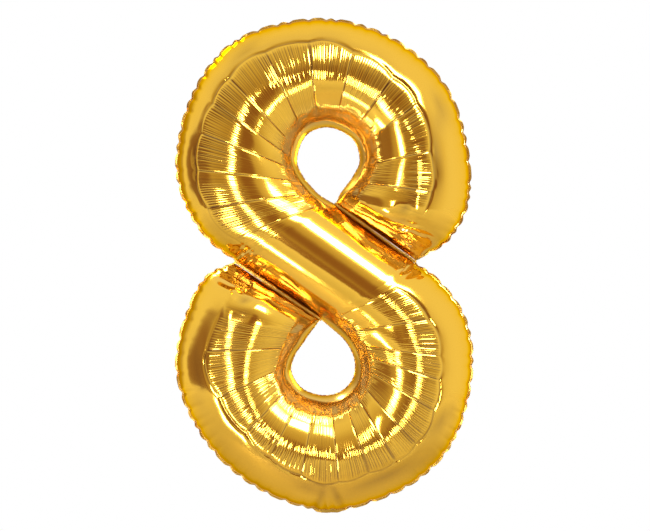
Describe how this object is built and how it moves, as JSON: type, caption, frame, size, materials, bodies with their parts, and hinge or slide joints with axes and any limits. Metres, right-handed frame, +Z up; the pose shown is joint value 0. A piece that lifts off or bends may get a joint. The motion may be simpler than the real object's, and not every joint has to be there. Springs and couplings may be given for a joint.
{
  "type": "foil number balloon",
  "caption": "Inflated gold foil balloon shaped as the digit eight: one S-shaped tube closed by heat seals, with a folding fill tail and a self-sealing valve.",
  "frame": {"origin": "where the filling tail folds and the ribbon is tied, at the bottom centre of the outline, in the plane of the seams", "axes": "+Z up along the digit's height, +X to the right seen from the front, the front faces -Y and the seams lie in the XZ plane"},
  "size_m": [0.4252, 0.1324, 0.7048],
  "materials": {
    "foil_film": "gold metallised film, mirror gloss, finely puckered",
    "heat_seal": "fused gold film, flat, slightly duller",
    "valve_film": "clear thin polyethylene film"
  },
  "bodies": {
    "balloon": {"front_panel": "foil_film", "back_panel": "foil_film", "outer_seam": "heat_seal", "upper_eye_seam": "heat_seal", "lower_eye_seam": "heat_seal", "upper_waist_weld": "heat_seal", "lower_waist_weld": "heat_seal"},
    "tail": {"tail_back_ply": "foil_film", "tail_front_ply": "foil_film", "tail_left_seal": "heat_seal", "tail_right_seal": "heat_seal", "valve_back_mouth": "valve_film", "valve_front_mouth": "valve_film"},
    "valve_front_lip": {"valve_front_ply": "valve_film"},
    "valve_back_lip": {"valve_back_ply": "valve_film"}
  },
  "joints": [
    {"name": "tail_fold", "type": "hinge", "parent": "balloon", "child": "tail", "pos_m": [0, 0, 0], "axis": [-1, 0, 0], "range_deg": [0, 110]},
    {"name": "front_lip_part", "type": "hinge", "parent": "balloon", "child": "valve_front_lip", "pos_m": [0, -0.00022, 0.008], "axis": [1, 0, 0], "range_deg": [0, 8], "stiffness_Nm_per_rad": 0.002},
    {"name": "back_lip_part", "type": "hinge", "parent": "balloon", "child": "valve_back_lip", "pos_m": [0, 0.00022, 0.008], "axis": [-1, 0, 0], "range_deg": [0, 8], "stiffness_Nm_per_rad": 0.002}
  ],
  "couplings": [
    {"joint": "back_lip_part", "follows": "front_lip_part", "ratio": 1}
  ]
}
